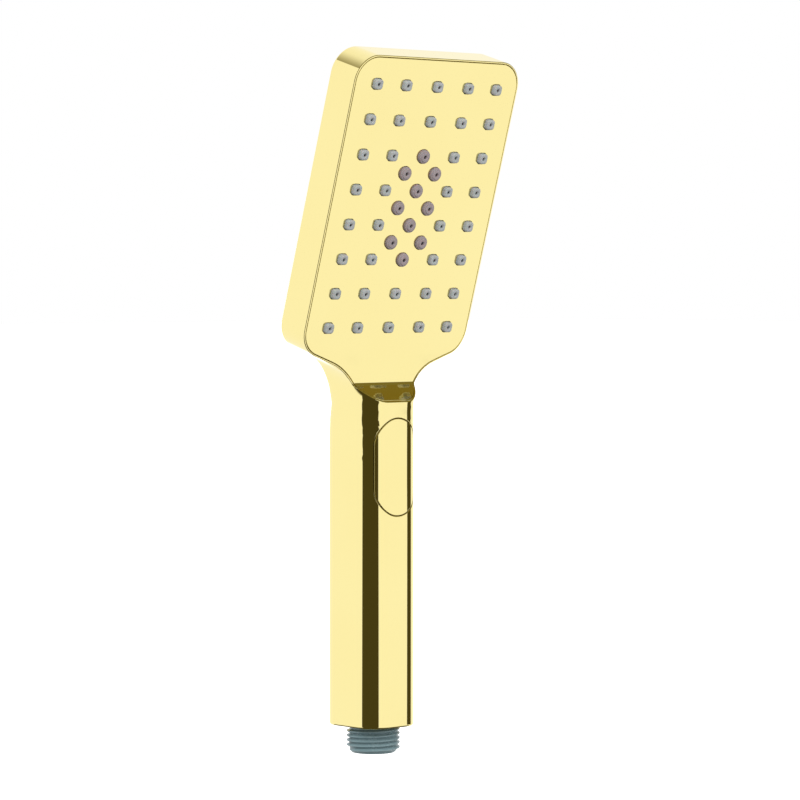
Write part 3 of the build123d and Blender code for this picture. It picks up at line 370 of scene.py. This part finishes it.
FINISHES: dict[str, GoldPlate | Moulded | BrightSteel] = {
    "plated_gold_shell": GoldPlate("plated_gold_shell"),
    "plated_gold_face": GoldPlate("plated_gold_face"),
    "plated_gold_button": GoldPlate("plated_gold_button"),
    "plated_gold_cap": GoldPlate("plated_gold_cap"),
    "inlet_plastic": Moulded(
        "inlet_plastic", (0.27, 0.38, 0.40), (0.18, 0.27, 0.29), 0.27, depth=0.06, dusty=0.1,
    ),
    "screen_steel": BrightSteel("screen_steel"),
    "regulator_plastic": Moulded("regulator_plastic", (0.05, 0.19, 0.48), (0.03, 0.13, 0.36), 0.4),
    "seal_rubber": Moulded("seal_rubber", (0.030, 0.030, 0.034), (0.012, 0.012, 0.014), 0.55),
    "gasket_rubber": Moulded("gasket_rubber", (0.075, 0.078, 0.082), (0.045, 0.047, 0.050), 0.6),
    "valve_plastic": Moulded("valve_plastic", (0.80, 0.80, 0.77), (0.66, 0.66, 0.62), 0.42),
    "spring_steel": BrightSteel("spring_steel"),
    "water_plastic": Moulded("water_plastic", (0.70, 0.70, 0.66), (0.56, 0.56, 0.51), 0.45),
    "cover_plastic": Moulded("cover_plastic", (0.062, 0.066, 0.070), (0.034, 0.036, 0.040), 0.48),
    "rotor_plastic": Moulded("rotor_plastic", (0.80, 0.77, 0.66), (0.68, 0.64, 0.52), 0.38),
    "screw_steel": BrightSteel("screw_steel", roughness=0.3),
    "nozzle_silicone": Moulded(
        "nozzle_silicone", (0.50, 0.51, 0.52), (0.38, 0.41, 0.38), 0.42, depth=0.02, dusty=0.0, glow=0.1,
    ),
    "massage_silicone": Moulded(
        "massage_silicone", (0.42, 0.35, 0.36), (0.31, 0.26, 0.26), 0.42, depth=0.02, dusty=0.0, glow=0.1,
    ),
}
MATERIALS = {slot: finish.build() for slot, finish in FINISHES.items()}
SLOT_OF_NODE = {part["node"]: part["material_slot"] for part in frame["record"]["subparts"]}


def dress(nodes: Iterable[str]) -> None:
    """Gives each CAD node the finish of its slot in the record."""
    for node in nodes:
        for slot in frame["nodes"][node].material_slots:
            slot.material = MATERIALS[SLOT_OF_NODE[node]]
        log.info("dressed %s in %s", node, SLOT_OF_NODE[node])


# ---------------------------------------------------------------- pieces built over CAD nodes

BODIES = frame["record"]["behaviour"]["bodies"]
BODY_OF_NODE = {node: body for body, nodes in BODIES.items() for node in nodes}


def stand_for(piece: bpy.types.Object, node: str) -> None:
    """Gives a piece its CAD node's finish, body and slot, and shows it in the node's place."""
    piece.data.materials.clear()
    piece.data.materials.append(MATERIALS[SLOT_OF_NODE[node]])
    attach(piece, BODY_OF_NODE[node])
    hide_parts(node)


@dataclass(frozen=True)
class SoftEdges:
    """How a moulded piece's outer edges are rounded when it is built over its CAD node."""

    node: str
    rounding: float
    segments: int = 3
    weld: float = 1e-6
    flat: float = math.radians(0.25)
    sharp: float = math.radians(38.0)

    def shape(self) -> bmesh.types.BMesh:
        """Welds the node's mesh, joins its flat facets and rounds its outward edges.

        Returns:
            The rounded mesh, in the row frame.
        """
        solid = bmesh.new()
        solid.from_mesh(frame["nodes"][self.node].data)
        bmesh.ops.remove_doubles(solid, verts=solid.verts[:], dist=self.weld)
        bmesh.ops.dissolve_limit(solid, angle_limit=self.flat, verts=solid.verts[:], edges=solid.edges[:])
        corners = [
            edge for edge in solid.edges
            if edge.is_manifold and edge.is_convex and edge.calc_face_angle() > self.sharp
        ]
        bmesh.ops.bevel(
            solid, geom=corners, offset=self.rounding, offset_type="OFFSET", segments=self.segments,
            profile=0.5, affect="EDGES", clamp_overlap=False,
        )
        for face in solid.faces:
            face.smooth = True
        for edge in solid.edges:
            edge.smooth = not (edge.is_manifold and edge.calc_face_angle() > self.sharp)
        return solid

    def build(self) -> bpy.types.Object:
        """Builds the piece, with normals that keep its flat faces flat.

        Returns:
            The finished piece, riding the node's body.
        """
        name = f"{self.node}_piece"
        solid = self.shape()
        rough = bpy.data.meshes.new(f"{name}_rough")
        solid.to_mesh(rough)
        solid.free()
        piece = bpy.data.objects.new(name, rough)
        bpy.context.scene.collection.objects.link(piece)
        weighted = piece.modifiers.new("flat_faces", "WEIGHTED_NORMAL")
        weighted.keep_sharp = True
        graph = bpy.context.evaluated_depsgraph_get()
        piece.data = bpy.data.meshes.new_from_object(
            piece.evaluated_get(graph), preserve_all_data_layers=True, depsgraph=graph,
        )
        piece.modifiers.clear()
        stand_for(piece, self.node)
        log.info("built %s with %d faces", name, len(piece.data.polygons))
        return piece


@dataclass(frozen=True)
class Coil:
    """A coil spring, copied from its CAD node and shown in its place."""

    node: str
    joint: str
    axis: tuple[float, float, float]

    def build(self) -> bpy.types.Object:
        """Builds the coil over its CAD node.

        Returns:
            The coil, riding its node's body.
        """
        piece = bpy.data.objects.new(f"{self.node}_piece", frame["nodes"][self.node].data.copy())
        bpy.context.scene.collection.objects.link(piece)
        stand_for(piece, self.node)
        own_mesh(piece)
        return piece


# ---------------------------------------------------------------- sub-assemblies


@dataclass
class Casing:
    """Plated outside: shell, spray face, thumb button and end cap."""

    nodes: tuple[str, ...] = ("body_shell", "face_plate", "button_cap", "end_cap")
    edges: tuple[SoftEdges, ...] = (
        SoftEdges("body_shell", 0.30 * MM),
        SoftEdges("face_plate", 0.16 * MM),
        SoftEdges("button_cap", 0.30 * MM),
    )

    def build(self) -> None:
        """Dresses the plated pieces and builds the soft-edged ones."""
        dress(self.nodes)
        for edges in self.edges:
            edges.build()


@dataclass
class Inlet:
    """Hose connector with its screen, flow regulator and check valve."""

    nodes: tuple[str, ...] = (
        "inlet_connector", "inlet_screen", "flow_regulator", "regulator_ring",
        "check_valve_cage", "check_valve_poppet", "check_valve_seal", "check_valve_spring",
    )

    spring: Coil = Coil("check_valve_spring", "check_valve_lift", (0.0, 0.0, 1.0))

    def build(self) -> None:
        """Dresses the pieces of the inlet and builds the valve's spring."""
        dress(self.nodes)
        self.spring.build()


@dataclass
class Waterway:
    """Tube, ducts and their ring seals."""

    nodes: tuple[str, ...] = ("waterway_tube", "tube_seals", "rain_duct", "massage_duct", "duct_seals")

    def build(self) -> None:
        """Dresses the pieces that carry the water."""
        dress(self.nodes)


@dataclass
class Diverter:
    """Valve block, rotor and the button's works."""

    nodes: tuple[str, ...] = (
        "diverter_housing", "diverter_cover", "cover_seal_ring", "cover_screws", "port_seals",
        "diverter_rotor", "button_pusher", "stem_seal_ring", "button_spring",
    )

    spring: Coil = Coil("button_spring", "button_press", (0.0, 1.0, 0.0))

    def build(self) -> None:
        """Dresses the pieces of the diverter and builds the button's spring."""
        dress(self.nodes)
        self.spring.build()


@dataclass
class SprayHead:
    """Manifold, nozzle plate and the soft nozzles."""

    nodes: tuple[str, ...] = (
        "manifold_body", "chamber_gasket", "nozzle_plate", "manifold_screws",
        "rain_nozzle_mat", "massage_nozzle_insert",
    )

    edges: tuple[SoftEdges, ...] = (
        SoftEdges("rain_nozzle_mat", 0.60 * MM, segments=4),
        SoftEdges("massage_nozzle_insert", 0.45 * MM, segments=4),
    )

    def build(self) -> None:
        """Dresses the pieces behind the face and builds the soft nozzles."""
        dress(self.nodes)
        for edges in self.edges:
            edges.build()


# ---------------------------------------------------------------- studio


@dataclass(frozen=True)
class SoftLight:
    """One rectangular soft light that no polished surface mirrors."""

    name: str
    place: tuple[float, float, float]
    size: float
    power: float

    def build(self, target: Vector) -> None:
        """Adds the light, turned towards the target."""
        data = bpy.data.lights.new(self.name, "AREA")
        data.size = self.size
        data.energy = self.power
        light = bpy.data.objects.new(self.name, data)
        light.location = self.place
        light.rotation_euler = (target - light.location).to_track_quat("-Z", "Y").to_euler()
        light.visible_glossy = False
        light.visible_camera = False
        bpy.context.scene.collection.objects.link(light)


WHITE: Colour = (1.0, 1.0, 1.0)


@dataclass(frozen=True)
class Opening:
    """A stretch of the room's wall between two bearings, in degrees, with soft sides."""

    low: float
    high: float
    soft: float

    def mask(self, graph: NodeGraph, bearing: bpy.types.NodeSocket) -> bpy.types.NodeSocket:
        """1 inside the opening and 0 outside it."""
        rise = graph.step(bearing, self.low - self.soft, self.low + self.soft)
        fall = graph.step(bearing, self.high - self.soft, self.high + self.soft)
        return graph.math("SUBTRACT", rise, fall)


@dataclass(frozen=True)
class Room:
    """The room that polished surfaces mirror: bright walls with dark gaps under a shaded ceiling.

    Bearings are in degrees round the vertical, from -X through -Y. Heights are the sine of the
    angle above the level.
    """

    near_gap: Opening = Opening(-19.0, 71.0, 1.2)
    side_gap: Opening = Opening(135.0, 167.5, 0.8)
    side_gap_foot: tuple[float, float] = (-0.20, -0.16)
    front_wall: Opening = Opening(71.0, 135.0, 1.0)
    left_wall: Opening = Opening(-90.0, -19.0, 1.0)
    ceiling_height: float = 0.055
    front_raise: float = 0.085
    left_raise: float = 0.60
    ceiling_edge: float = 0.01
    ceiling_lit_y: tuple[float, float] = (0.15, 0.55)
    ceiling_lit_x: tuple[float, float] = (-0.75, 0.1)
    ground_edge: tuple[float, float] = (-0.62, -0.56)
    lamp_wall: Opening = Opening(-158.0, -108.0, 6.0)
    lamp_fade: tuple[float, float] = (0.15, 0.40)
    lamp: Colour = (2.6, 2.6, 2.6)
    gap_shade: Colour = (0.060, 0.050, 0.016)
    ceiling_shade: Colour = (0.19, 0.16, 0.045)
    soft_light: Colour = (0.55, 0.55, 0.56)

    def ceiling_mask(self, graph: NodeGraph, bearing, height) -> bpy.types.NodeSocket:
        """1 above the ceiling's edge, which is raised over the front and left walls."""
        front = graph.math("MULTIPLY", self.front_wall.mask(graph, bearing), self.front_raise)
        left = graph.math("MULTIPLY", self.left_wall.mask(graph, bearing), self.left_raise)
        edge = graph.math("ADD", graph.math("ADD", front, left), self.ceiling_height)
        return graph.step(graph.math("SUBTRACT", height, edge), -self.ceiling_edge, self.ceiling_edge)

    def dark_mask(self, graph: NodeGraph, bearing, height) -> bpy.types.NodeSocket:
        """1 in the dark gaps between the walls and on the ground."""
        above_foot = graph.step(height, *self.side_gap_foot)
        side = graph.math("MULTIPLY", self.side_gap.mask(graph, bearing), above_foot)
        gaps = graph.math("MAXIMUM", self.near_gap.mask(graph, bearing), side)
        ground = graph.math("SUBTRACT", 1.0, graph.step(height, *self.ground_edge))
        return graph.math("MAXIMUM", gaps, ground)

    def lamp_mask(self, graph: NodeGraph, bearing, height) -> bpy.types.NodeSocket:
        """1 on the bright wall behind the shower head, fading above and below."""
        level = graph.math("SUBTRACT", 1.0, graph.step(graph.math("ABSOLUTE", height), *self.lamp_fade))
        return graph.math("MULTIPLY", self.lamp_wall.mask(graph, bearing), level)

    def build(self) -> None:
        """Adds the room as a world: white for the eye, even for soft light, and walls in reflections."""
        world = bpy.data.worlds.new("studio_room")
        world.use_nodes = True
        bpy.context.scene.world = world
        graph = NodeGraph(world.node_tree)
        direction = graph.add("ShaderNodeSeparateXYZ")
        graph.join(graph.add("ShaderNodeTexCoord").outputs["Generated"], direction.inputs[0])
        x, y, height = direction.outputs
        minus_x, minus_y = graph.math("MULTIPLY", x, -1.0), graph.math("MULTIPLY", y, -1.0)
        turn = graph.math("ARCTAN2", minus_y, minus_x)
        bearing = graph.math("MULTIPLY", turn, math.degrees(1.0))
        lit = graph.math("MULTIPLY", graph.step(y, *self.ceiling_lit_y), graph.step(x, *self.ceiling_lit_x))
        above = graph.blend(lit, rgba(self.ceiling_shade), rgba(WHITE))
        bright = graph.blend(self.lamp_mask(graph, bearing, height), rgba(WHITE), rgba(self.lamp))
        walls = graph.blend(self.dark_mask(graph, bearing, height), bright, rgba(self.gap_shade))
        mirrored = graph.blend(self.ceiling_mask(graph, bearing, height), walls, above)
        path = graph.add("ShaderNodeLightPath")
        soft = graph.blend(path.outputs["Is Diffuse Ray"], mirrored, rgba(self.soft_light))
        seen = graph.blend(path.outputs["Is Camera Ray"], soft, rgba(WHITE))
        graph.join(seen, world.node_tree.nodes["Background"].inputs["Color"])


@dataclass
class Studio:
    """White studio: the mirrored room, soft lights, a pale floor and the camera."""

    yaw: float = 42.72
    pitch: float = 1.965
    distance: float = 1.3554
    lens: float = 156.2
    aim_side: float = 0.01052
    aim_height: float = 0.13777
    floor_drop: float = 0.30
    floor_size: float = 60.0
    room: Room = Room()
    lights: tuple[SoftLight, ...] = field(default_factory=lambda: (
        SoftLight("key_light", (-1.2, -0.9, 1.3), 1.0, 22.0),
        SoftLight("fill_light", (1.3, -1.0, 0.5), 1.4, 8.0),
        SoftLight("back_light", (0.6, 1.6, 1.2), 1.4, 10.0),
    ))

    def camera_axes(self) -> tuple[Vector, Vector, Vector]:
        """Right, up and backward axes of the camera."""
        turn, tip = math.radians(self.yaw), math.radians(self.pitch)
        back = Vector((-math.sin(turn) * math.cos(tip), -math.cos(turn) * math.cos(tip), math.sin(tip)))
        right = Vector((math.cos(turn), -math.sin(turn), 0.0))
        return right, back.cross(right), back

    def build_camera(self) -> None:
        """Adds the camera at the viewing angle."""
        right, up, back = self.camera_axes()
        target = right * self.aim_side + Vector((0, 0, self.aim_height))
        data = bpy.data.cameras.new("camera")
        data.lens = self.lens
        data.sensor_width = 36.0
        camera = bpy.data.objects.new("camera", data)
        turned = Matrix((right, up, back)).transposed().to_4x4()
        camera.matrix_world = Matrix.Translation(target + back * self.distance) @ turned
        bpy.context.scene.collection.objects.link(camera)
        bpy.context.scene.camera = camera

    def build_floor(self) -> None:
        """Adds the pale floor, well below the shower head and not mirrored in it."""
        half = self.floor_size / 2
        outline = ((-half, -half), (half, -half), (half, half), (-half, half))
        mesh = bpy.data.meshes.new("floor")
        mesh.from_pydata([(x, y, -self.floor_drop) for x, y in outline], [], [(0, 1, 2, 3)])
        material, graph, shader = start_material("pale_floor")
        place = graph.add("ShaderNodeTexCoord").outputs["Object"]
        tone = graph.noise(place, 3.0, 2.0, 0.5)
        shade = graph.blend(tone, rgba((0.92, 0.92, 0.92)), rgba((0.95, 0.95, 0.95)))
        graph.join(shade, shader.inputs[Drive.COLOUR.value])
        shader.inputs["Roughness"].default_value = 0.9
        shader.inputs["Emission Color"].default_value = rgba(WHITE)
        shader.inputs["Emission Strength"].default_value = 1.0
        mesh.materials.append(material)
        floor = bpy.data.objects.new("floor", mesh)
        floor.visible_glossy = False
        floor.visible_diffuse = False
        bpy.context.scene.collection.objects.link(floor)

    def build(self) -> None:
        """Builds the whole studio."""
        self.room.build()
        self.build_floor()
        middle = sum((Vector(corner) for corner in CAD_BOX), Vector()) / 2
        for light in self.lights:
            light.build(middle)
        self.build_camera()
        bpy.context.scene.view_settings.view_transform = "Standard"
        log.info("studio ready")


def main() -> None:
    """Builds every sub-assembly in order, then the studio."""
    for assembly in (Casing(), Inlet(), Waterway(), Diverter(), SprayHead(), Studio()):
        assembly.build()
        log.info("built %s", type(assembly).__name__)


if __name__ == "__main__":
    logging.basicConfig(level=logging.INFO)
    main()
